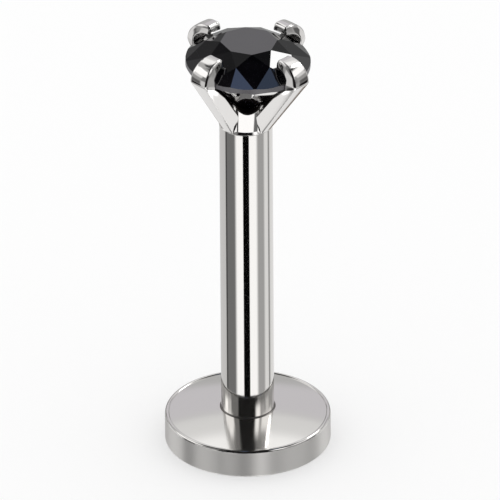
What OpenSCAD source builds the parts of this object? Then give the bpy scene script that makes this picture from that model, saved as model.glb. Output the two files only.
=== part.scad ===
// Labret stud: a domed flat back with a round bar, and a claw setting that plugs into the bar
// and holds a round brilliant. Millimetres, +Z up, standing on the middle of the disc's underside.

/* [Disc] */
// Diameter of the disc that lies inside the lip
disc_d = 4.0; // [3:0.1:6]
// Height of the disc's side wall, up to its rim bead
disc_wall_h = 0.655; // [0.4:0.005:1.2]
// Radius of the polished bead round the top edge
rim_bead_r = 0.06; // [0.03:0.005:0.1]
// Rise of the domed top from the bead to the bar
disc_crown_h = 0.155; // [0.05:0.005:0.3]
// Rounding of the disc's bottom edge
disc_edge_r = 0.05; // [0.02:0.01:0.15]

/* [Bar] */
// Diameter of the bar, 16 gauge
bar_d = 1.28; // [1.1:0.02:1.6]
// Length of the bar from the disc's rim to the setting
bar_l = 8.0; // [5:0.5:14]
// Radius of the flare where the bar meets the disc
foot_flare_r = 0.035; // [0.01:0.005:0.06]

/* [Pin and socket] */
// Diameter of the pin that plugs the setting into the bar
pin_d = 0.8; // [0.5:0.02:0.9]
// Length of the pin below the setting
pin_l = 1.9; // [1:0.1:3]
// Radial clearance of the pin in its socket
pin_clearance = 0.02; // [0.01:0.005:0.04]
// Room left below the end of the pin
socket_room = 0.15; // [0.05:0.05:0.5]
// Chamfer at the end of the pin
pin_chamfer = 0.08; // [0.03:0.01:0.15]

/* [Setting] */
// Overhang of the setting's foot beyond the bar, all round
foot_over = 0.01; // [0:0.005:0.05]
// Height of the foot between the arms, which is bevelled in to the hub
foot_h = 0.07; // [0.03:0.01:0.2]
// How far the hub stands back from the foot
hub_inset = 0.05; // [0.02:0.01:0.15]
// Height of the hub above the bar
hub_h = 0.6; // [0.3:0.05:0.8]
// Height of the shoulder, where the arms turn into claws, above the girdle's lower edge
shoulder_lift = 0.12; // [0:0.02:0.3]
// Metal of an arm outside the girdle
arm_wall = 0.27; // [0.15:0.01:0.4]
// Width of an arm at its foot
arm_foot_w = 0.3; // [0.2:0.02:0.4]
// Width of an arm at its shoulder
arm_shoulder_w = 0.5; // [0.35:0.01:0.7]
// Width of a claw at its tip
claw_tip_w = 0.34; // [0.25:0.01:0.5]
// Reach of the claws in over the stone, from the girdle
claw_reach = 0.4; // [0.3:0.01:0.7]
// Height of the claws above the stone's table
claw_rise = 0.01; // [0:0.01:0.2]
// Thickness of a claw where it bends over the stone
claw_t = 0.22; // [0.16:0.01:0.26]
// Outer radius of the bend of a claw
claw_bend_r = 0.56; // [0.3:0.02:0.8]
// Rounding of a claw's tip
claw_tip_round = 0.1; // [0.04:0.01:0.12]
// Clearance between the stone and its seat
seat_clearance = 0.02; // [0.01:0.005:0.04]
// Turn of the setting about the bar, in degrees
setting_turn = 2; // [-45:1:45]
// Lean of the setting to the right, in degrees
setting_lean = 2; // [0:0.5:3]

/* [Stone] */
// Diameter of the stone
stone_d = 3.0; // [2.4:0.1:3.6]
// Diameter of the table, corner to corner
table_d = 1.37; // [1:0.05:1.8]
// Height of the crown above the girdle
crown_h = 0.49; // [0.35:0.01:0.6]
// Thickness of the girdle
girdle_h = 0.15; // [0.06:0.01:0.25]
// Depth of the pavilion below the girdle
pavilion_h = 1.3; // [1.1:0.02:1.4]
// Height of the girdle's lower edge above the bar
stone_lift = 1.605; // [1.5:0.005:2]
// Turn of the stone in its setting, in degrees
stone_turn = 4; // [-22:1:22]

/* [Hidden] */

// Segments of true circles, and steps of the curves in a profile
round_fn = 96;
arc_steps = 6;
dome_steps = 8;
bend_steps = 10;
under_steps = 8;
// Length by which a cutting or clipping shape runs clear of what it cuts
spare = 0.5;
// Largest share of a claw tip's height that its rounding may take
round_share = 0.9;

// Disc and bar
disc_r = disc_d / 2;
bar_r = bar_d / 2;
bar_top_z = disc_wall_h + bar_l;
// The bead runs round from the wall, at 0 degrees, to its seam with the domed top
bead_end = 138;
seam_r = disc_r - rim_bead_r + rim_bead_r * cos(bead_end);
seam_z = disc_wall_h + rim_bead_r * sin(bead_end);
flare_r = bar_r + foot_flare_r;
dome_top_z = seam_z + disc_crown_h;
// Radius of the sphere that domes the disc between the seam and the flare
dome_r = (seam_r * seam_r - flare_r * flare_r) / (2 * disc_crown_h);
socket_r = pin_d / 2 + pin_clearance;
socket_l = pin_l + socket_room;

// Setting, with heights measured from the top of the bar
foot_r = bar_r + foot_over;
hub_r = foot_r - hub_inset;
stone_r = stone_d / 2;
seat_r = stone_r + seat_clearance;
table_z = stone_lift + girdle_h + crown_h;
shoulder_r = seat_r + arm_wall;
shoulder_z = stone_lift + shoulder_lift;
claw_top = table_z + claw_rise;
claw_tip_r = stone_r - claw_reach;
arm_slope = (shoulder_r - foot_r) / shoulder_z;
// The leaned shapes start this far below the bar's top, where they are then cut level
root_h = foot_r * sin(setting_lean) + foot_h / 2;
// The foot's bevel runs on inside the hub to this many times its height
foot_run = 2;
// A block inside each shoulder reaches this far into the arm and into the claw, and makes them one
shoulder_lap = 0.05;
lap_w = min(arm_foot_w, arm_shoulder_w, claw_tip_w);
arm_end = shoulder_r + spare;
arm_widening = (arm_shoulder_w - arm_foot_w) / (shoulder_r - foot_r);
arm_end_w = arm_shoulder_w + spare * arm_widening;

// Stone, with heights measured from the girdle's edges
table_r = table_d / 2;
facet_step = 45;
half_step = facet_step / 2;
// The facets run a little past the girdle, which a cylinder then trims
facet_over = 0.045;
facet_r = stone_r + facet_over;
crown_slope = crown_h / (stone_r - table_r);
pavilion_slope = pavilion_h / stone_r;
// The stars reach half way from the table to the girdle, the lower halves three quarters to the culet
star_share = 0.5;
lower_share = 0.76;
table_flat_r = table_r * cos(half_step);
star_r = table_flat_r + star_share * (stone_r - table_flat_r);
star_z = crown_h - (star_r * cos(half_step) - table_r) * crown_slope;
lower_r = (1 - lower_share) * stone_r;
lower_z = lower_r * cos(half_step) * pavilion_slope - pavilion_h;

// Outline that clears every crown or pavilion facet as the stone turns
crown_line = [[table_r, crown_h], [star_r, star_z], [stone_r, 0]];
pavilion_line = [[0, -pavilion_h], [lower_r, lower_z], [stone_r, 0]];

// The tip's rounding fits the tip, and the bend is an arc from the shoulder to the claw's level top
tip_round = min(claw_tip_round, round_share * min(claw_t, claw_top - seat_over(claw_tip_r)));
bend_arc_r = min(claw_bend_r, shoulder_r - claw_tip_r - tip_round);
bend_z = claw_top - bend_arc_r;
bend_r = shoulder_r - sqrt(bend_arc_r * bend_arc_r - pow(shoulder_z - bend_z, 2));
bend_start = asin((shoulder_z - bend_z) / bend_arc_r);
// The underside bends about the same centre, and leaves a gap over the crown before it meets the seat
under_arc_r = bend_arc_r - claw_t;
under_step = (seat_r - claw_tip_r) / under_steps;

// Height above the bar of the seat's upper and lower sides, at a distance from the axis
function seat_over(r) = stone_lift + girdle_h + lookup(r, crown_line) + seat_clearance;
function seat_under(r) = stone_lift + lookup(r, pavilion_line) - seat_clearance;

// Height above the bar of a claw's underside, which nowhere reaches below the seat
function claw_under(r) =
    let (off = max(r - bend_r, 0), drop = under_arc_r - sqrt(max(under_arc_r * under_arc_r - off * off, 0)))
    max(claw_top - claw_t - drop, seat_over(r));

// Height of the domed top, at a distance from the axis
function dome_z(r) = dome_top_z - (r * r - flare_r * flare_r) / (2 * dome_r);

// Points of an arc about a centre, from one angle to another
function arc(c, r, from, to, steps) =
    [for (i = [0:steps]) let (a = from + (to - from) * i / steps) [c[0] + r * cos(a), c[1] + r * sin(a)]];

// Eight corners round the stone's axis, at one radius and height
function ring(r, z, turn) =
    [for (i = [0:7]) let (a = i * facet_step + turn) [r * cos(a), r * sin(a), z]];

module flat_back_post() {
    dome_step = (seam_r - flare_r) / dome_steps;
    profile = concat(
        [[0, 0]],
        arc([disc_r - disc_edge_r, disc_edge_r], disc_edge_r, -90, 0, arc_steps),
        arc([disc_r - rim_bead_r, disc_wall_h], rim_bead_r, 0, bead_end, arc_steps),
        [for (i = [1:dome_steps - 1]) let (r = seam_r - i * dome_step) [r, dome_z(r)]],
        arc([flare_r, dome_top_z + foot_flare_r], foot_flare_r, -90, -180, arc_steps),
        [[bar_r, bar_top_z], [0, bar_top_z]]);
    color("lightgray") difference() {
        rotate_extrude($fn = round_fn) polygon(profile);
        translate([0, 0, bar_top_z - socket_l])
            cylinder(r = socket_r, h = socket_l + spare, $fn = round_fn);
    }
}

// Everything that turns and leans with the setting, from the top of the bar
module in_setting() {
    rotate([0, setting_lean, 0]) rotate([0, 0, setting_turn]) children();
}

// The setting as it leaves the lathe, before the gaps between its arms are cut
module setting_blank() {
    bend = arc([bend_r, bend_z], bend_arc_r, bend_start, 90, bend_steps);
    rotate_extrude($fn = round_fn) polygon(concat(
        [[0, -root_h], [foot_r - root_h * arm_slope, -root_h], [shoulder_r, shoulder_z]],
        [for (i = [1:bend_steps]) bend[i]],
        arc([claw_tip_r + tip_round, claw_top - tip_round], tip_round, 90, 180, arc_steps),
        [for (i = [0:under_steps]) let (r = claw_tip_r + i * under_step) [r, claw_under(r)]],
        [[seat_r, seat_under(stone_r)]],
        [for (i = [2:-1:0]) [pavilion_line[i][0], seat_under(pavilion_line[i][0])]]));
}

// One arm seen from above: it widens to its shoulder
module arm_plan() {
    polygon([[0, -arm_foot_w / 2], [foot_r, -arm_foot_w / 2], [arm_end, -arm_end_w / 2],
             [arm_end, arm_end_w / 2], [foot_r, arm_foot_w / 2], [0, arm_foot_w / 2]]);
}

// One claw seen from above: it narrows to its tip
module claw_plan() {
    polygon([[claw_tip_r - spare, -claw_tip_w / 2], [claw_tip_r, -claw_tip_w / 2],
             [shoulder_r, -arm_shoulder_w / 2], [arm_end, -arm_shoulder_w / 2],
             [arm_end, arm_shoulder_w / 2], [shoulder_r, arm_shoulder_w / 2],
             [claw_tip_r, claw_tip_w / 2], [claw_tip_r - spare, claw_tip_w / 2]]);
}

// Hub, arms and claws, which lean a little on the round foot
module claws() {
    in_setting() intersection() {
        setting_blank();
        union() {
            translate([0, 0, -root_h]) cylinder(r = hub_r, h = root_h + hub_h, $fn = round_fn);
            for (a = [45:90:315]) rotate([0, 0, a]) {
                translate([0, 0, -root_h]) linear_extrude(height = root_h + shoulder_z) arm_plan();
                translate([0, 0, shoulder_z]) linear_extrude(height = claw_top) claw_plan();
                translate([0, -lap_w / 2, shoulder_z - shoulder_lap])
                    cube([arm_end, lap_w, 2 * shoulder_lap]);
            }
        }
    }
}

// The pin runs up into the foot, so that the two are one solid
module plain_pin() {
    pin_r = pin_d / 2;
    rotate_extrude($fn = round_fn) polygon([
        [0, -pin_l], [pin_r - pin_chamfer, -pin_l], [pin_r, pin_chamfer - pin_l],
        [pin_r, foot_h / 2], [0, foot_h / 2]]);
}

module prong_setting() {
    color("silver") translate([0, 0, bar_top_z]) {
        cylinder(r1 = foot_r, r2 = foot_r - foot_run * hub_inset, h = foot_run * foot_h, $fn = round_fn);
        intersection() {
            claws();
            cylinder(r = arm_end, h = claw_top + spare, $fn = round_fn);
        }
        plain_pin();
    }
}

// A round brilliant as a closed solid of flat facets, with the girdle's lower edge at zero
module brilliant() {
    top_z = girdle_h - facet_over * crown_slope;
    low_z = facet_over * pavilion_slope;
    points = concat(
        ring(table_r, girdle_h + crown_h, 0),
        ring(star_r, girdle_h + star_z, half_step),
        ring(facet_r, top_z, 0),
        ring(facet_r, top_z, half_step),
        ring(facet_r, low_z, 0),
        ring(facet_r, low_z, half_step),
        ring(lower_r, lower_z, half_step),
        [[0, 0, -pavilion_h]]);
    // The first point of each ring: mains meet the girdle at the facet step, halves between them
    table = 0;
    star = 8;
    main_top = 16;
    half_top = 24;
    main_low = 32;
    half_low = 40;
    lower = 48;
    culet = 56;
    faces = [
        [for (i = [7:-1:0]) table + i],
        for (i = [0:7]) let (next = (i + 1) % 8, last = (i + 7) % 8) each [
            [table + i, table + next, star + i],
            [table + i, star + i, main_top + i, star + last],
            [star + i, half_top + i, main_top + i],
            [star + i, main_top + next, half_top + i],
            [main_top + i, half_top + i, half_low + i, main_low + i],
            [half_top + i, main_top + next, main_low + next, half_low + i],
            [main_low + i, half_low + i, lower + i],
            [half_low + i, main_low + next, lower + i],
            [main_low + i, lower + i, culet, lower + last]]];
    polyhedron(points, faces);
}

module gemstone() {
    color([0.16, 0.15, 0.18]) translate([0, 0, bar_top_z]) in_setting()
        translate([0, 0, stone_lift]) rotate([0, 0, stone_turn]) intersection() {
            brilliant();
            translate([0, 0, -pavilion_h - spare])
                cylinder(r = stone_r, h = pavilion_h + girdle_h + crown_h + 2 * spare, $fn = round_fn);
        }
}

flat_back_post();
prong_setting();
gemstone();
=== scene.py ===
import math

import bpy
import numpy as np
from mathutils import Matrix, Vector
from mathutils.bvhtree import BVHTree
from mathutils.interpolate import poly_3d_calc


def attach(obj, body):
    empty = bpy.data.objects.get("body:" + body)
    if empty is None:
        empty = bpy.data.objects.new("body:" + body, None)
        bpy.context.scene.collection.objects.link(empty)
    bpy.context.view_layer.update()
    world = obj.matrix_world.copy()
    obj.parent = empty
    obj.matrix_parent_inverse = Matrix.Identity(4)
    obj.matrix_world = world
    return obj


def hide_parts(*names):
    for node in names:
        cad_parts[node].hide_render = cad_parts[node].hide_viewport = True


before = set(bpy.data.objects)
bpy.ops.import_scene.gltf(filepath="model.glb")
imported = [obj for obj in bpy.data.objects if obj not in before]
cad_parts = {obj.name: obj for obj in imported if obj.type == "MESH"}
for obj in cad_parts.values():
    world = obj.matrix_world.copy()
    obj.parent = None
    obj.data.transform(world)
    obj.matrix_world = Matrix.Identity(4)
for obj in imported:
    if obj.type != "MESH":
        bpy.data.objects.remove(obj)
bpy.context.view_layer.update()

# Sizes in millimetres, the same as the CAD model's
MM = 0.001
DISC_R = 2.0
WALL_H = 0.655
BEAD_R = 0.06
BEAD_END = 138
CROWN_H = 0.155
EDGE_R = 0.05
BAR_R = 0.64
BAR_TOP = 8.655
FLARE = 0.035
SOCKET_R = 0.42
SOCKET_L = 2.05
PIN_R = 0.4
PIN_L = 1.9
PIN_CHAMFER = 0.08
FOOT_R = 0.65
FOOT_H = 0.07
HUB_R = 0.60
HUB_H = 0.6
SHOULDER_R = 1.79
SHOULDER_Z = 1.725
CLAW_TOP = 2.255
CLAW_TIP_R = 1.1
CLAW_T = 0.22
BEND_R = 0.56
TIP_ROUND = 0.1
ARM_FOOT_W = 0.3
ARM_SHOULDER_W = 0.5
CLAW_TIP_W = 0.34
SEAT_GAP = 0.02
SETTING_TURN = 2
SETTING_LEAN = 2
STONE_R = 1.5
TABLE_R = 0.685
STONE_CROWN = 0.49
GIRDLE_H = 0.15
PAVILION_H = 1.3
STONE_LIFT = 1.605
STONE_TURN = 4
FACET_OVER = 0.045
HALF_STEP = 22.5
LOWER_SHARE = 0.24
STAR_SHARE = 0.5

# Fineness of the round surfaces, and small roundings of real metal
ROUND_STEPS = 288
BAR_EDGE = 0.012
FOOT_EDGE = 0.008
FOOT_BEVEL = 35
ARM_EDGE = 0.02
CLAW_EDGE = 0.03

# A claw arm's section: a drafted strip outside, which thins to a web behind it
ARM_DRAFT = 18
STRIP_T = 0.3
WEB_W = 0.12
CREASE = 0.008
INNER_EDGE = 0.02
EDGE_POWER = 1.3
EDGE_SHARE = 0.42
INNER_SHARE = 0.3
STRIP_SHARE = 0.85

# A claw arm's path: its root in the hub, its shoulder, the seat's corner and the tip
ROOT_H = 0.058
ROOT_R = 0.3
WAIST_R = 0.34
WAIST_Z = 0.5
KINK_R = 0.05
KINK_SHARE = 0.6
SEAT_CORNER = 0.01
TIP_FLAT = 0.03
TIP_INSET = 0.012
TIP_LIFT = 0.003
TIP_FOOT = 0.02

# The hub: its flare in degrees, its fillets with the arms and its notches between them
HUB_START = 0.035
HUB_FLARE = 4
CORNER_R = 0.07
NOTCH_R = 0.3
BELOW_SEAT = 0.005
SPARE = 0.5

# The unpolished seat, which gets painted shade: its lowest height, and how far its faces turn inwards or
# upwards
SEAT_LOW = 0.55
SEAT_INWARD = 0.35
SEAT_UPWARD = 0.5


def cosd(a):
    return math.cos(math.radians(a))


def sind(a):
    return math.sin(math.radians(a))


# Shapes

def arc(cx, cz, r, start, end, steps, side=1):
    """Profile points with their normals; side is -1 where the arc is hollow."""
    angles = [start + (end - start) * i / steps for i in range(steps + 1)]
    return [(cx + r * cosd(a), cz + r * sind(a), side * cosd(a), side * sind(a)) for a in angles]


def line(r0, z0, r1, z1, steps=1):
    """Profile points of a straight stretch, with its outward normal."""
    length = math.hypot(r1 - r0, z1 - z0)
    n = ((z1 - z0) / length, (r0 - r1) / length)
    return [(r0 + (r1 - r0) * i / steps, z0 + (z1 - z0) * i / steps, *n) for i in range(steps + 1)]


def link(name, mesh):
    obj = bpy.data.objects.new(name, mesh)
    bpy.context.scene.collection.objects.link(obj)
    return obj


def build(name, verts, faces, normals):
    """A mesh from millimetre points, with one normal for each face corner."""
    mesh = bpy.data.meshes.new(name)
    mesh.from_pydata([tuple(v * MM for v in p) for p in verts], [], faces)
    mesh.polygons.foreach_set("use_smooth", [True] * len(mesh.polygons))
    mesh.normals_split_custom_set([n for face in normals for n in face])
    return link(name, mesh)


def lathe(name, pieces, steps=ROUND_STEPS):
    """Turns a profile of smooth stretches about the Z axis."""
    rings, spans = [pieces[0][0][:2]], []
    for piece in pieces:
        for a, b in zip(piece, piece[1:]):
            rings.append(b[:2])
            spans.append((a[2:], b[2:]))
    verts, starts = [], []
    for r, z in rings:
        starts.append(len(verts))
        count = 1 if r < 1e-9 else steps
        verts += [(r * cosd(360 * j / steps), r * sind(360 * j / steps), z) for j in range(count)]
    faces, normals = [], []
    for i, (na, nb) in enumerate(spans):
        low, high = rings[i][0] > 1e-9, rings[i + 1][0] > 1e-9
        for j in range(steps):
            k = (j + 1) % steps
            corners = [(starts[i] + j * low, na, j)]
            if low:
                corners.append((starts[i] + k, na, j + 1))
            corners.append((starts[i + 1] + k * high, nb, j + 1))
            if high:
                corners.append((starts[i + 1] + j, nb, j))
            faces.append([c[0] for c in corners])
            turns = [360 * c[2] / steps for c in corners]
            normals.append([(c[1][0] * cosd(t), c[1][0] * sind(t), c[1][1])
                            for c, t in zip(corners, turns)])
    return build(name, verts, faces, normals)


def grid_mesh(name, grid):
    """A closed tube from a grid of points, whose normals come from its neighbours."""
    rings, around = grid.shape[:2]
    across = np.roll(grid, -1, axis=1) - np.roll(grid, 1, axis=1)
    along = np.empty_like(grid)
    along[1:-1] = grid[2:] - grid[:-2]
    along[0], along[-1] = grid[1] - grid[0], grid[-1] - grid[-2]
    normal = np.cross(across, along)
    normal /= np.maximum(np.linalg.norm(normal, axis=2, keepdims=True), 1e-12)
    flat = [tuple(n) for n in normal.reshape(-1, 3)]
    verts = [tuple(p) for p in grid.reshape(-1, 3)]
    faces = []
    for n in range(rings - 1):
        for k in range(around):
            m = (k + 1) % around
            faces.append([n * around + k, n * around + m, (n + 1) * around + m, (n + 1) * around + k])
    normals = [[flat[v] for v in f] for f in faces]
    for row, step in ((0, -1), (rings - 1, 1)):
        verts.append(tuple(grid[row].mean(axis=0)))
        for k in range(around):
            pair = [row * around + k, row * around + (k + 1) % around]
            face = [len(verts) - 1] + pair[::step]
            a, b, c = (Vector(verts[v]) for v in face)
            faces.append(face)
            normals.append([tuple((b - a).cross(c - a).normalized())] * 3)
    return build(name, verts, faces, normals)


# The post: disc, bar and blind socket

seam_r = DISC_R - BEAD_R + BEAD_R * cosd(BEAD_END)
seam_z = WALL_H + BEAD_R * sind(BEAD_END)
flare_r = BAR_R + FLARE
dome_top = seam_z + CROWN_H
dome_r = (seam_r ** 2 - flare_r ** 2) / (2 * CROWN_H)


def dome(steps=24):
    """The domed top of the disc, from its seam with the bead to the bar's flare."""
    points = []
    for i in range(steps + 1):
        r = seam_r + (flare_r - seam_r) * i / steps
        slope = r / dome_r
        length = math.hypot(slope, 1)
        points.append((r, dome_top - (r * r - flare_r ** 2) / (2 * dome_r), slope / length, 1 / length))
    return points


post = lathe("post_visual", [
    line(0, 0, DISC_R - EDGE_R, 0),
    arc(DISC_R - EDGE_R, EDGE_R, EDGE_R, -90, 0, 10),
    line(DISC_R, EDGE_R, DISC_R, WALL_H, 6),
    arc(DISC_R - BEAD_R, WALL_H, BEAD_R, 0, BEAD_END, 22),
    dome(),
    arc(flare_r, dome_top + FLARE, FLARE, -90, -180, 8, -1),
    line(BAR_R, dome_top + FLARE, BAR_R, BAR_TOP - BAR_EDGE, 24),
    arc(BAR_R - BAR_EDGE, BAR_TOP - BAR_EDGE, BAR_EDGE, 0, 90, 5),
    line(BAR_R - BAR_EDGE, BAR_TOP, SOCKET_R, BAR_TOP),
    line(SOCKET_R, BAR_TOP, SOCKET_R, BAR_TOP - SOCKET_L, 4),
    line(SOCKET_R, BAR_TOP - SOCKET_L, 0, BAR_TOP - SOCKET_L),
])


# The setting: pin and foot, hub, and four arms that end in claws

lean = Matrix.Rotation(math.radians(SETTING_LEAN), 4, "Y")
turned = Matrix.Rotation(math.radians(SETTING_TURN), 4, "Z")
upright = Matrix.Translation((0, 0, BAR_TOP * MM))
in_setting = upright @ lean @ turned
pavilion_slope = PAVILION_H / STONE_R
crown_slope = STONE_CROWN / (STONE_R - TABLE_R)
lower_r = LOWER_SHARE * STONE_R
lower_z = lower_r * cosd(HALF_STEP) * pavilion_slope - PAVILION_H
table_flat_r = TABLE_R * cosd(HALF_STEP)
star_r = table_flat_r + STAR_SHARE * (STONE_R - table_flat_r)
star_z = STONE_CROWN - (star_r * cosd(HALF_STEP) - TABLE_R) * crown_slope
bend_z = CLAW_TOP - BEND_R
bend_x = SHOULDER_R - math.sqrt(BEND_R ** 2 - (SHOULDER_Z - bend_z) ** 2)


def seat_under(r):
    """Height of the seat below the stone, from the bar's top."""
    return float(STONE_LIFT - SEAT_GAP + np.interp(r, [0, lower_r, STONE_R], [-PAVILION_H, lower_z, 0]))


def seat_over(r):
    """Lowest height of a claw's underside above the stone's crown."""
    crown = np.interp(r, [TABLE_R, star_r, STONE_R], [STONE_CROWN, star_z, 0])
    return float(STONE_LIFT + GIRDLE_H + SEAT_GAP + crown)


def claw_under(r):
    """Height of a claw's underside, which bends about the same centre as its outside."""
    off = max(r - bend_x, 0)
    under_r = BEND_R - CLAW_T
    drop = under_r - math.sqrt(max(under_r ** 2 - off ** 2, 0))
    return max(CLAW_TOP - CLAW_T - drop, seat_over(r))


def resample(points, marks, counts):
    """Points along a path, with a chosen count between marked corners."""
    out = []
    for (a, b), n in zip(zip(marks, marks[1:]), counts):
        part = np.array(points[a:b + 1], float)
        run = np.r_[0, np.cumsum(np.linalg.norm(np.diff(part, axis=0), axis=1))]
        at = np.linspace(0, run[-1], n + 1)[(1 if out else 0):]
        out += list(zip(np.interp(at, run, part[:, 0]), np.interp(at, run, part[:, 1])))
    return out


def outer_path():
    """The arm's outer line: up the cone, round the shoulder, over the bend to the tip."""
    slope = (SHOULDER_R - FOOT_R) / SHOULDER_Z
    start = math.degrees(math.asin((SHOULDER_Z - bend_z) / BEND_R) + KINK_SHARE * KINK_R / BEND_R)
    below = (SHOULDER_R - KINK_R * slope, SHOULDER_Z - KINK_R)
    above = (bend_x + BEND_R * cosd(start), bend_z + BEND_R * sind(start))
    path = [(FOOT_R - ROOT_H * slope, -ROOT_H), below]
    for t in np.linspace(0, 1, 10)[1:]:
        weights = ((1 - t) ** 2, 2 * t * (1 - t), t * t)
        corners = (below, (SHOULDER_R, SHOULDER_Z), above)
        path.append(tuple(sum(w * c[axis] for w, c in zip(weights, corners)) for axis in (0, 1)))
    kink = len(path) - 1
    path += [(bend_x + BEND_R * cosd(a), bend_z + BEND_R * sind(a))
             for a in np.linspace(start, 90, 40)[1:]]
    tip_x = CLAW_TIP_R + TIP_ROUND
    path.append((tip_x, CLAW_TOP))
    level = len(path) - 1
    tip_z = CLAW_TOP - TIP_ROUND
    path += [(tip_x + TIP_ROUND * cosd(a), tip_z + TIP_ROUND * sind(a))
             for a in np.linspace(90, 180, 12)[1:]]
    path.append((CLAW_TIP_R, claw_under(CLAW_TIP_R) + TIP_FOOT))
    last = len(path) - 1
    return resample(path, [0, 1, kink, level, last - 1, last], [40, 10, 44, 16, 4])


def inner_path():
    """The arm's inner line: inside the hub, up the seat and round the claw's underside."""
    seat_r = STONE_R + SEAT_GAP
    path = [(ROOT_R, -ROOT_H), (WAIST_R, WAIST_Z)]
    path += [(r, seat_under(r)) for r in (lower_r, STONE_R)]
    path += [(seat_r, seat_under(STONE_R) + SEAT_CORNER), (seat_r, seat_over(STONE_R) - SEAT_CORNER)]
    path += [(r, claw_under(r)) for r in np.linspace(seat_r, CLAW_TIP_R + TIP_FLAT, 24)]
    path.append((CLAW_TIP_R + TIP_INSET, claw_under(CLAW_TIP_R) + TIP_LIFT))
    last = len(path) - 1
    return resample(path, [0, 3, 5, last - 1, last], [40, 10, 58, 6])


def half_width(r, claw):
    """Half the arm's width at a distance from the axis."""
    near_r, near_w = (CLAW_TIP_R, CLAW_TIP_W) if claw else (FOOT_R, ARM_FOOT_W)
    rate = (ARM_SHOULDER_W - near_w) / 2 / (SHOULDER_R - near_r)
    return near_w / 2 + rate * (max(r, near_r) - near_r)


def arm_section(o, i, claw, edge):
    """A section of the arm, from the middle of its inner face round and back to it."""
    depth = math.hypot(o[0] - i[0], o[1] - i[1])
    edge = min(edge, EDGE_SHARE * depth)
    inner = min(INNER_EDGE, INNER_SHARE * depth)
    w_out = half_width(o[0], claw)
    strip = min(STRIP_T, edge + STRIP_SHARE * (depth - inner - edge))
    w_strip = w_out + strip * math.tan(math.radians(ARM_DRAFT))
    thinning = min(1.0, max(0.0, (depth - STRIP_T) / STRIP_T))
    w_in = w_strip + (WEB_W / 2 - w_strip) * thinning
    power = 2 / EDGE_POWER
    half = [((w_out - edge) * t, 0) for t in np.linspace(0, 1, 9)[:-1]]
    for a in np.linspace(0, 90, 7)[:-1]:
        half.append((w_out - edge + edge * sind(a) ** power, edge - edge * cosd(a) ** power))
    for d in np.linspace(edge, strip - CREASE, 4):
        half.append((w_out + (w_strip - w_out) * d / strip, d))
    for d in np.linspace(strip + CREASE, depth - inner, 5)[:-1]:
        half.append((w_strip + (w_in - w_strip) * (d - strip) / (depth - strip), d))
    for a in np.linspace(0, 90, 4)[:-1]:
        half.append((w_in - inner + inner * cosd(a), depth - inner + inner * sind(a)))
    half += [((w_in - inner) * (1 - t), depth) for t in np.linspace(0, 1, 6)]
    points = []
    for y, d in half:
        r = o[0] + (i[0] - o[0]) * d / depth
        z = o[1] + (i[1] - o[1]) * d / depth
        points.append((math.sqrt(max(r * r - y * y, 1e-9)), y, z))
    mirrored = [(x, -y, z) for x, y, z in points[1:-1]]
    return mirrored[::-1] + points


def arm(name, turn):
    outer, inner = outer_path(), inner_path()
    first_claw = next(n for n, p in enumerate(outer) if p[1] >= SHOULDER_Z)
    rows = []
    for n, (o, i) in enumerate(zip(outer, inner)):
        share = min(1.0, max(0.0, (n - first_claw + 6) / 12))
        rows.append(arm_section(o, i, n >= first_claw, ARM_EDGE + (CLAW_EDGE - ARM_EDGE) * share))
    obj = grid_mesh(name, np.array(rows))
    obj.matrix_world = in_setting @ Matrix.Rotation(math.radians(turn), 4, "Z")
    return obj


def hub_mesh():
    """The hub, filleted where it meets the arms and notched round between them."""
    flare = math.tan(math.radians(HUB_FLARE))
    columns = []
    for j in range(ROUND_STEPS):
        turn = 360 * j / ROUND_STEPS
        off = abs(turn % 90 - 45)
        into_fillet = CORNER_R - max(HUB_R * sind(off) - ARM_FOOT_W / 2, 0)
        fillet = CORNER_R - math.sqrt(CORNER_R ** 2 - into_fillet ** 2) if into_fillet > 0 else 0.0
        across = min(HUB_R * sind(45 - off), 0.99 * NOTCH_R)
        top = HUB_H + NOTCH_R - math.sqrt(NOTCH_R ** 2 - across ** 2)
        top = min(top, seat_under(HUB_R + fillet) - BELOW_SEAT)
        side = [(HUB_R + flare * z + fillet, z) for z in np.linspace(HUB_START, top, 16)]
        over = [(r, min(top, seat_under(r) - BELOW_SEAT)) for r in np.linspace(side[-1][0], 0.02, 30)[1:]]
        columns.append([(r * cosd(turn), r * sind(turn), z) for r, z in side + over])
    obj = grid_mesh("hub_part", np.array(columns).transpose(1, 0, 2))
    obj.matrix_world = in_setting
    return obj


def apply_modifiers(obj):
    """The mesh that an object has after its modifiers, in world coordinates."""
    bpy.context.view_layer.update()
    graph = bpy.context.evaluated_depsgraph_get()
    mesh = bpy.data.meshes.new_from_object(obj.evaluated_get(graph), depsgraph=graph)
    mesh.transform(obj.matrix_world)
    return mesh


def boolean(obj, other, operation):
    """Joins or cuts two solids exactly, and gives the result as a new mesh object."""
    step = obj.modifiers.new(operation.lower(), "BOOLEAN")
    step.operation = operation
    step.solver = "EXACT"
    step.object = other
    result = link(obj.name, apply_modifiers(obj))
    for used in (obj, other):
        bpy.data.objects.remove(used)
    return result


def normal_source(obj):
    """A solid's surface and its corner normals, to copy them onto the joined solid."""
    mesh = obj.data
    place = obj.matrix_world
    spin = place.to_3x3().normalized()
    points = [place @ v.co for v in mesh.vertices]
    polys = [list(p.vertices) for p in mesh.polygons]
    loops = [[spin @ Vector(mesh.corner_normals[i].vector) for i in p.loop_indices] for p in mesh.polygons]
    return BVHTree.FromPolygons(points, polys), points, polys, loops


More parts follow.
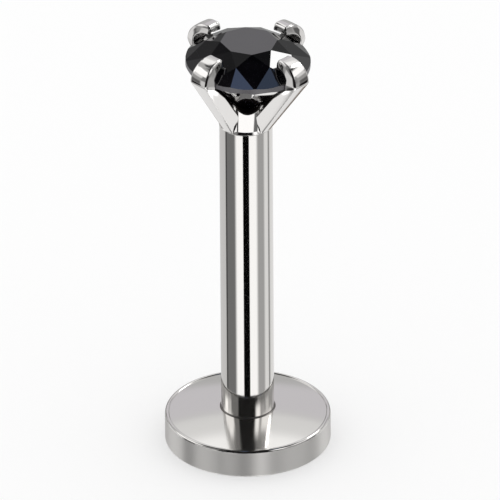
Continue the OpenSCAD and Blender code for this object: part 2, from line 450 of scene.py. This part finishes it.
def copy_normals(obj, sources):
    """Gives each face corner the normal of the solid that its face comes from."""
    mesh = obj.data
    normals = []
    for poly in mesh.polygons:
        best = None
        for tree, points, polys, loops in sources:
            hit = tree.find_nearest(poly.center)
            score = hit[3] + (1 - abs(hit[1].dot(poly.normal))) * 1e-6
            if best is None or score < best[0]:
                best = (score, hit[2], points, polys, loops)
        index, points, polys, loops = best[1:]
        corners = [points[v] for v in polys[index]]
        for v in poly.vertices:
            weights = poly_3d_calc(corners, mesh.vertices[v].co)
            n = sum((w * c for w, c in zip(weights, loops[index])), Vector((0, 0, 0)))
            if n.length < 1e-6:
                n = poly.normal.copy()
            normals.append(n.normalized() if n.dot(poly.normal) > 0 else -n.normalized())
    mesh.polygons.foreach_set("use_smooth", [True] * len(mesh.polygons))
    mesh.normals_split_custom_set(normals)


bevel_start = (FOOT_R - FOOT_EDGE + FOOT_EDGE * cosd(FOOT_BEVEL), FOOT_EDGE + FOOT_EDGE * sind(FOOT_BEVEL))
foot = lathe("foot_part", [
    line(0, -PIN_L, PIN_R - PIN_CHAMFER, -PIN_L),
    line(PIN_R - PIN_CHAMFER, -PIN_L, PIN_R, PIN_CHAMFER - PIN_L),
    line(PIN_R, PIN_CHAMFER - PIN_L, PIN_R, 0, 4),
    line(PIN_R, 0, FOOT_R - FOOT_EDGE, 0),
    arc(FOOT_R - FOOT_EDGE, FOOT_EDGE, FOOT_EDGE, -90, FOOT_BEVEL, 5),
    line(*bevel_start, 2 * HUB_R - FOOT_R, 2 * FOOT_H),
    line(2 * HUB_R - FOOT_R, 2 * FOOT_H, 0, 2 * FOOT_H),
])
foot.matrix_world = upright
blade = lathe("blade", [line(0, -SPARE, 1, -SPARE), line(1, -SPARE, 1, 0), line(1, 0, 0, 0)], 64)
blade.matrix_world = upright
arms = [arm("arm_part_%d" % a, a) for a in (45, 135, 225, 315)]
hub = hub_mesh()
bpy.context.view_layer.update()
sources = [normal_source(part) for part in [hub, blade, foot] + arms]
setting = hub
for part in arms:
    setting = boolean(setting, part, "UNION")
setting = boolean(setting, blade, "DIFFERENCE")
setting = boolean(setting, foot, "UNION")
setting.name = "setting_visual"
copy_normals(setting, sources)


# The stone: table, stars, kites, halves and mains, trimmed by a round girdle

def ring(r, z, turn):
    return [(r * cosd(45 * i + turn), r * sind(45 * i + turn), z) for i in range(8)]


def brilliant():
    over_r = STONE_R + FACET_OVER
    top_z = GIRDLE_H - FACET_OVER * crown_slope
    low_z = FACET_OVER * pavilion_slope
    verts = ring(TABLE_R, GIRDLE_H + STONE_CROWN, 0) + ring(star_r, GIRDLE_H + star_z, HALF_STEP)
    verts += ring(over_r, top_z, 0) + ring(over_r, top_z, HALF_STEP)
    verts += ring(over_r, low_z, 0) + ring(over_r, low_z, HALF_STEP)
    verts += ring(lower_r, lower_z, HALF_STEP) + [(0, 0, -PAVILION_H)]
    table, star, main_top, half_top, main_low, half_low, lower, culet = range(0, 64, 8)
    faces = [[table + i for i in range(8)]]
    for i in range(8):
        after, before = (i + 1) % 8, (i + 7) % 8
        faces += [
            [star + i, table + after, table + i],
            [star + before, main_top + i, star + i, table + i],
            [main_top + i, half_top + i, star + i],
            [half_top + i, main_top + after, star + i],
            [main_low + i, half_low + i, half_top + i, main_top + i],
            [half_low + i, main_low + after, main_top + after, half_top + i],
            [lower + i, half_low + i, main_low + i],
            [lower + i, main_low + after, half_low + i],
            [lower + before, culet, lower + i, main_low + i]]
    mesh = bpy.data.meshes.new("stone_visual")
    mesh.from_pydata([tuple(v * MM for v in p) for p in verts], [], faces)
    obj = link("stone_visual", mesh)
    lift = Matrix.Translation((0, 0, STONE_LIFT * MM))
    obj.matrix_world = in_setting @ lift @ Matrix.Rotation(math.radians(STONE_TURN), 4, "Z")
    return obj


stone = brilliant()
stone_place = stone.matrix_world.copy()
cut_low, cut_high = -PAVILION_H - SPARE, GIRDLE_H + STONE_CROWN + SPARE
blank = lathe("girdle_cut", [
    line(0, cut_low, STONE_R, cut_low),
    line(STONE_R, cut_low, STONE_R, cut_high),
    line(STONE_R, cut_high, 0, cut_high),
], 256)
blank.matrix_world = stone_place
stone = boolean(stone, blank, "INTERSECT")
stone_axis = (stone_place.to_3x3() @ Vector((0, 0, 1))).normalized()
girdle_faces = set()
stone_normals = []
for poly in stone.data.polygons:
    level = abs(poly.normal.dot(stone_axis)) < 0.05
    if level:
        girdle_faces.add(poly.index)
    for v in poly.vertices:
        out = stone.data.vertices[v].co - stone_place.translation
        out -= out.dot(stone_axis) * stone_axis
        stone_normals.append(out.normalized() if level else poly.normal.copy())
stone.data.polygons.foreach_set("use_smooth", [True] * len(stone.data.polygons))
stone.data.normals_split_custom_set(stone_normals)


# Materials

class Nodes:
    """Builds a node tree: each call adds a node, sets its sockets and links its inputs."""

    def __init__(self, tree):
        self.tree = tree
        tree.nodes.clear()

    def add(self, kind, inputs=None, **settings):
        node = self.tree.nodes.new(kind)
        for key, value in settings.items():
            setattr(node, key, value)
        for key, value in (inputs or {}).items():
            if isinstance(value, bpy.types.NodeSocket):
                self.tree.links.new(value, node.inputs[key])
            else:
                node.inputs[key].default_value = value
        return node

    def math(self, operation, *values):
        return self.add("ShaderNodeMath", dict(enumerate(values)), operation=operation).outputs[0]

    def span(self, value, low, high, to_low, to_high):
        inputs = {"Value": value, "From Min": low, "From Max": high, "To Min": to_low, "To Max": to_high}
        return self.add("ShaderNodeMapRange", inputs, interpolation_type="SMOOTHSTEP").outputs[0]

    def mix(self, share, a, b):
        return self.add("ShaderNodeMix", {0: share, 6: a, 7: b}, data_type="RGBA").outputs[2]

    def noise(self, vector, scale=1.0, detail=3.0, rough=0.5):
        inputs = {"Vector": vector, "Scale": scale, "Detail": detail, "Roughness": rough}
        return self.add("ShaderNodeTexNoise", inputs).outputs[0]

    def bump(self, height, distance, strength):
        inputs = {"Height": height, "Distance": distance, "Strength": strength}
        return self.add("ShaderNodeBump", inputs).outputs[0]

    def join(self, x, y, z):
        return self.add("ShaderNodeCombineXYZ", {0: x, 1: y, 2: z}).outputs[0]

    def cylinder(self):
        """Distance from the Z axis and height in millimetres, and the angle about the axis."""
        place = self.add("ShaderNodeTexCoord").outputs["Object"]
        xyz = self.add("ShaderNodeSeparateXYZ", {0: place}).outputs
        x, y, z = (self.math("MULTIPLY", v, 1000.0) for v in xyz)
        squares = self.math("ADD", self.math("MULTIPLY", x, x), self.math("MULTIPLY", y, y))
        return self.math("SQRT", squares), self.math("ARCTAN2", y, x), z

    def strokes(self, per_r, per_turn, per_z, detail=3.0, rough=0.5):
        """Noise drawn out about the Z axis, with so many waves a millimetre or a radian."""
        r, turn, z = self.cylinder()
        parts = [self.math("MULTIPLY", v, s) for v, s in ((r, per_r), (turn, per_turn), (z, per_z))]
        return self.noise(self.join(*parts), 1.0, detail, rough)


def material(name, sockets):
    mat = bpy.data.materials.new(name)
    mat.use_nodes = True
    nodes = Nodes(mat.node_tree)
    shader = nodes.add("ShaderNodeBsdfPrincipled", sockets)
    nodes.add("ShaderNodeOutputMaterial", {"Surface": shader.outputs[0]})
    return mat, nodes, shader


def roughen(nodes, shader, height, distance, strength):
    """Gives a material's surface a relief from a pattern of heights."""
    nodes.tree.links.new(nodes.bump(height, distance, strength), shader.inputs["Normal"])


STEEL = (0.78, 0.765, 0.745, 1)
CHROME = (0.80, 0.785, 0.77, 1)

# Polished bar: nearly a mirror, with faint polishing lines round it
bar_metal, nodes, shader = material("bar_metal", {"Base Color": STEEL, "Metallic": 1.0, "Roughness": 0.065})
lines = nodes.strokes(1.0, 0.5, 9.0, 2.0)
roughen(nodes, shader, lines, 0.0000006, 0.25)

# Turned top of the disc: fine rings about the axis
top_metal, nodes, shader = material("top_metal", {"Base Color": STEEL, "Metallic": 1.0, "Roughness": 0.11})
rings = nodes.strokes(34.0, 0.25, 0.0, 4.0, 0.6)
roughen(nodes, shader, rings, 0.0000005, 0.5)

# Seam where the bar meets the disc: a dark colour, partly tarnish and partly painted shade in the crease,
# and duller, where polish doesn't reach
seam_tarnish_and_shade, nodes, shader = material("seam_tarnish_and_shade", {
    "Base Color": (0.2, 0.19, 0.18, 1), "Metallic": 1.0, "Roughness": 0.3})
seam_relief = nodes.strokes(6.0, 4.0, 20.0)
roughen(nodes, shader, seam_relief, 0.0000008, 0.4)

# Brushed side wall: fine level lines, which spread its reflection up and down
wall_metal, nodes, shader = material("wall_metal", {
    "Base Color": STEEL, "Metallic": 1.0, "Roughness": 0.42,
    "Anisotropic": 0.85, "Anisotropic Rotation": 0.25})
tangent = nodes.add("ShaderNodeTangent", direction_type="RADIAL", axis="Z").outputs[0]
nodes.tree.links.new(tangent, shader.inputs["Tangent"])
brushing = nodes.strokes(0.0, 2.5, 45.0, 4.0, 0.65)
roughen(nodes, shader, brushing, 0.0000012, 0.6)

# Bead and setting: mirror polish
bead_metal, nodes, shader = material("bead_metal", {
    "Base Color": STEEL, "Metallic": 1.0, "Roughness": 0.08})
fine = nodes.strokes(20.0, 0.3, 20.0, 2.0)
roughen(nodes, shader, fine, 0.0000002, 0.3)
setting_metal, nodes, shader = material("setting_metal", {
    "Base Color": CHROME, "Metallic": 1.0, "Roughness": 0.075})
file_marks = nodes.strokes(8.0, 9.0, 30.0)
roughen(nodes, shader, file_marks, 0.0000004, 0.3)

# Seat under the stone: painted shade, a dark colour where shade falls under the stone, and dull, as no
# polish reaches it
seat_painted_shade, nodes, shader = material("seat_painted_shade", {
    "Base Color": (0.13, 0.11, 0.1, 1), "Metallic": 1.0, "Roughness": 0.35})
roughen(nodes, shader, nodes.strokes(8.0, 9.0, 30.0), 0.0000008, 0.4)

# Stone: near-black and highly refracting, with a frosted girdle
stone_glass, nodes, shader = material("stone_glass", {"Roughness": 0.03, "IOR": 2.2})
place = nodes.add("ShaderNodeTexCoord").outputs["Object"]
cloud = nodes.span(nodes.noise(place, 900.0, 2.0), 0.35, 0.7, 0, 1)
tint = nodes.mix(cloud, (0.0012, 0.0012, 0.0018, 1), (0.004, 0.0035, 0.005, 1))
nodes.tree.links.new(tint, shader.inputs["Base Color"])
girdle_glass, nodes, shader = material("girdle_glass", {
    "Base Color": (0.05, 0.045, 0.055, 1), "Roughness": 0.35, "IOR": 2.2})
place = nodes.add("ShaderNodeTexCoord").outputs["Object"]
roughen(nodes, shader, nodes.noise(place, 30000.0), 0.000001, 0.4)


def by_face(obj, mats, choose):
    obj.data.materials.clear()
    for mat in mats:
        obj.data.materials.append(mat)
    for poly in obj.data.polygons:
        poly.material_index = choose(poly)


def post_part(poly):
    """Which finish a face of the post has."""
    x, y, z = (v / MM for v in poly.center)
    r = math.hypot(x, y)
    if r < BAR_R:
        return BAR_PART
    # The flare's faces take the seam's dark colour, partly tarnish and partly painted shade
    if r < flare_r:
        return SHADED_SEAM_PART
    if z < WALL_H:
        return WALL_PART
    return BEAD_PART if r > seam_r else TOP_PART


def setting_part(poly):
    """Which finish a face of the setting has: 0 where it's polished, 1 in the seat under the stone, dark
    with painted shade.
    """
    place = from_setting @ poly.center / MM
    normal = from_setting.to_3x3() @ poly.normal
    inward = -(normal.x * place.x + normal.y * place.y) / max(math.hypot(place.x, place.y), 1e-6)
    under_stone = SEAT_LOW < place.z < STONE_LIFT
    return int(under_stone and (inward > SEAT_INWARD or normal.z > SEAT_UPWARD))


def stone_part(poly):
    """Which finish a face of the stone has: 0 on its facets, 1 on its girdle."""
    return int(poly.index in girdle_faces)


BAR_PART, TOP_PART, WALL_PART, BEAD_PART, SHADED_SEAM_PART = range(5)
from_setting = in_setting.inverted()
by_face(post, [bar_metal, top_metal, wall_metal, bead_metal, seam_tarnish_and_shade], post_part)
by_face(setting, [setting_metal, seat_painted_shade], setting_part)
by_face(stone, [stone_glass, girdle_glass], stone_part)


# Floor, world, lights and camera

# Half the floor's width in metres
FLOOR = 0.4
mesh = bpy.data.meshes.new("floor")
corners = [(-FLOOR, -FLOOR, 0), (FLOOR, -FLOOR, 0), (FLOOR, FLOOR, 0), (-FLOOR, FLOOR, 0)]
mesh.from_pydata(corners, [], [(0, 1, 2, 3)])
floor = link("floor", mesh)
mesh.materials.append(material("floor_white", {
    "Base Color": (0.62, 0.62, 0.62, 1), "Roughness": 1.0, "Specular IOR Level": 0.0,
    "Emission Color": (1, 1, 1, 1), "Emission Strength": 0.345})[0])
floor.visible_glossy = False
floor.visible_transmission = False

# Each studio patch: name, middle azimuth, half width and soft edge, lowest and highest elevation
# and soft edge, brightness or colour. Azimuth 0 is towards the photograph's viewer, 90 to the right.
BASE_LIGHT = 0.42
PATCHES = [
    ("room above", 0, 180, 1, 58, 95, 8, 0.03),
    ("front upper dark", 0, 40, 10, -20, 60, 4, 0.008),
    ("front upper grey left", -60, 14, 10, 0, 55, 10, 0.22),
    ("front upper grey right", 62, 12, 10, 0, 55, 10, 0.25),
    ("mirrored left white", -94, 15, 6, 18, 42, 6, 1.6),
    ("mirrored right white", 45, 4, 13, 18, 42, 6, 1.4),
    ("mirrored right grey", 68, 7, 5, 18, 42, 6, 0.5),
    ("front left mid", -58, 14, 6, -24, 2, 5, 0.7),
    ("left side light", -114, 15, 4, -22, 6, 5, 0.8),
    ("right side light", 119, 15, 4, -22, 6, 5, 0.8),
    ("left upper softbox", -94, 22, 10, 26, 40, 5, 1.25),
    ("right upper softbox", 94, 22, 10, 26, 40, 5, 1.25),
    ("left shade 1", -84, 8, 3, 16, 21, 5, 0.75),
    ("right shade 1", 92, 8, 3, 16, 21, 5, 0.75),
    ("left shade 2", -84, 8, 3, 3, 10, 5, 0.35),
    ("right shade 2", 92, 8, 3, 3, 10, 5, 0.35),
    ("left shade 3", -84, 8, 3, -9, -2, 5, 0.12),
    ("right shade 3", 92, 8, 3, -9, -2, 5, 0.12),
    ("left shade 4", -84, 8, 3, -26, -14, 4, 0.01),
    ("right shade 4", 92, 8, 3, -26, -14, 4, 0.01),
    ("left top grey", -125, 16, 10, 44, 56, 5, 0.5),
    ("right top grey", 125, 16, 10, 44, 56, 5, 0.5),
    ("back wall low", 180, 38, 14, 0, 16, 8, 0.5),
    ("back wall", 180, 40, 14, 19, 31, 5, (0.655, 0.64, 0.67)),
    ("back wall high", 180, 40, 14, 36, 42, 5, 0.8),
    ("back wall top", 180, 40, 14, 46, 56, 5, 1.1),
    ("left table light", -76, 9, 14, -62, -38, 6, 0.95),
    ("right table light", 78, 9, 14, -62, -38, 6, 0.95),
    ("back table light", 180, 40, 12, -75, -41, 6, 0.86),
    ("front table", 0, 30, 20, -62, -36, 8, 0.5),
    ("left floor light", -76, 8, 10, -80, -62, 5, 2.5),
    ("right floor light", 78, 8, 10, -80, -62, 5, 2.5),
    ("front right floor light", 22, 8, 5, -80, -52, 6, 3.2),
    ("band: back left", -140, 40, 6, -34, -25, 2, 0.66),
    ("band: back right", 152, 28, 8, -34, -25, 2, 0.84),
    ("band: right light", 94, 16, 10, -34, -25, 2, 0.85),
    ("band: right dark line", 112, 2, 5, -34, -25, 2, 0.3),
    ("band: right grey", 70, 7, 12, -34, -25, 2, 0.42),
    ("band: left grey", -75, 18, 14, -34, -25, 2, 0.19),
    ("band: left dark line", -97, 2, 4, -34, -25, 2, 0.06),
    ("band: front white", 0, 40, 14, -34, -25, 2, 1.2),
    ("hub white", 0, 42, 6, -45, -34, 3, 1.25),
    ("hub dark left", -47, 7, 4, -45, -34, 3, 0.03),
    ("hub dark right", 46, 8, 5, -45, -34, 3, 0.17),
    ("front black card", -1.4, 12.6, 1.5, -33, -25, 1.5, 0.002),
    ("pavilion", 180, 18, 5, -62, -34, 3, (0.2, 0.165, 0.14)),
    ("halves outer left", -138, 4, 3, 22, 30, 3, 0.2),
    ("halves outer right", 147, 4, 3, 8, 14, 3, 0.35),
    ("star far left", -165, 4, 2, 7, 15, 2, 0.2),
    ("kite left", -151, 4, 2, 16, 24, 2, 0.1),
    ("star left", -150, 4, 2, 38, 46, 2, 0.04),
    ("halves far left", -156, 4, 2, 2, 10, 2, 0.2),
    ("star front left", -158, 12, 6, 66, 76, 3, 0.1),
    ("kite front left", -119, 7, 4, 56, 63, 3, 0.07),
    ("halves front left", -87, 8, 4, 61, 69, 3, 0.01),
    ("halves front", -13, 9, 4, 76, 80, 2, (0.3, 0.4, 0.66)),
    ("kite front right", 83, 60, 10, 80.5, 84, 1.5, 0.0),
    ("halves front right", 71, 9, 4, 64, 71, 2, (0.2, 0.27, 0.42)),
    ("halves right", 104, 6, 3, 46, 52, 2, 0.04),
    ("star front right", 139, 7, 4, 57, 64, 2, 0.03),
    ("star right", 150, 4, 2, 26, 34, 2, 0.17),
    ("kite far right", 156, 4, 2, 3, 11, 2, 0.2),
    ("small softbox", 125, 7, 3, 38, 48, 3, 6.5),
]

# What shows behind the object, and what lights the matt floor
WHITE_BACK = (0.985, 0.985, 0.985, 1)
WHITE_LIGHT = (1.04, 1.04, 1.04, 1)

world = bpy.data.worlds.new("studio")
bpy.context.scene.world = world
world.use_nodes = True
nodes = Nodes(world.node_tree)
direction = nodes.add("ShaderNodeTexCoord").outputs["Generated"]
dx, dy, dz = nodes.add("ShaderNodeSeparateXYZ", {0: direction}).outputs
TO_DEGREES = 180 / math.pi
towards_viewer = nodes.math("MULTIPLY", dy, -1.0)
azimuth = nodes.math("MULTIPLY", nodes.math("ARCTAN2", dx, towards_viewer), TO_DEGREES)
elevation = nodes.math("MULTIPLY", nodes.math("ARCSINE", dz), TO_DEGREES)
light = (BASE_LIGHT, BASE_LIGHT, BASE_LIGHT, 1)
for name, middle, half, soft, low, high, el_soft, value in PATCHES:
    off = nodes.math("WRAP", nodes.math("SUBTRACT", azimuth, float(middle)), 180.0, -180.0)
    side = nodes.span(nodes.math("ABSOLUTE", off), half, half + soft, 1, 0)
    up = nodes.math("ABSOLUTE", nodes.math("SUBTRACT", elevation, (low + high) / 2))
    reach = (high - low) / 2
    inside = nodes.math("MULTIPLY", side, nodes.span(up, reach, reach + el_soft, 1, 0))
    colour = value if isinstance(value, tuple) else (value, value, value)
    light = nodes.mix(inside, light, (*colour, 1))
paths = nodes.add("ShaderNodeLightPath").outputs
mirror = nodes.math("MAXIMUM", paths["Is Glossy Ray"], paths["Is Transmission Ray"])
white = nodes.mix(paths["Is Camera Ray"], WHITE_LIGHT, WHITE_BACK)
shown = nodes.mix(mirror, white, light)
back = nodes.add("ShaderNodeBackground", {"Color": shown, "Strength": 1.0})
nodes.add("ShaderNodeOutputWorld", {"Surface": back.outputs[0]})

scene = bpy.context.scene
scene.view_settings.view_transform = "Standard"
scene.view_settings.look = "None"

# Camera: angles in degrees, distance and width of view in metres, and the point it looks at in millimetres
ELEVATION = 29.5
ROLL = -0.36
DISTANCE = 0.55
VIEW_WIDTH = 0.01202
SENSOR = 36
AIM = (0.078, 0, 5.155)
aim = Vector(AIM) * MM
camera_data = bpy.data.cameras.new("camera")
camera_data.type = "PERSP"
camera_data.sensor_width = SENSOR
camera_data.lens = SENSOR * DISTANCE / VIEW_WIDTH
camera = bpy.data.objects.new("camera", camera_data)
scene.collection.objects.link(camera)
offset = Vector((0, -cosd(ELEVATION), sind(ELEVATION))) * DISTANCE
facing = offset.to_track_quat("Z", "Y").to_matrix().to_4x4()
rolled = Matrix.Rotation(math.radians(ROLL), 4, "Z")
camera.matrix_world = Matrix.Translation(aim + offset) @ facing @ rolled
scene.camera = camera

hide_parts("flat_back_post")
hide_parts("prong_setting")
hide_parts("gemstone")
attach(post, "post")
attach(setting, "top")
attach(stone, "top")
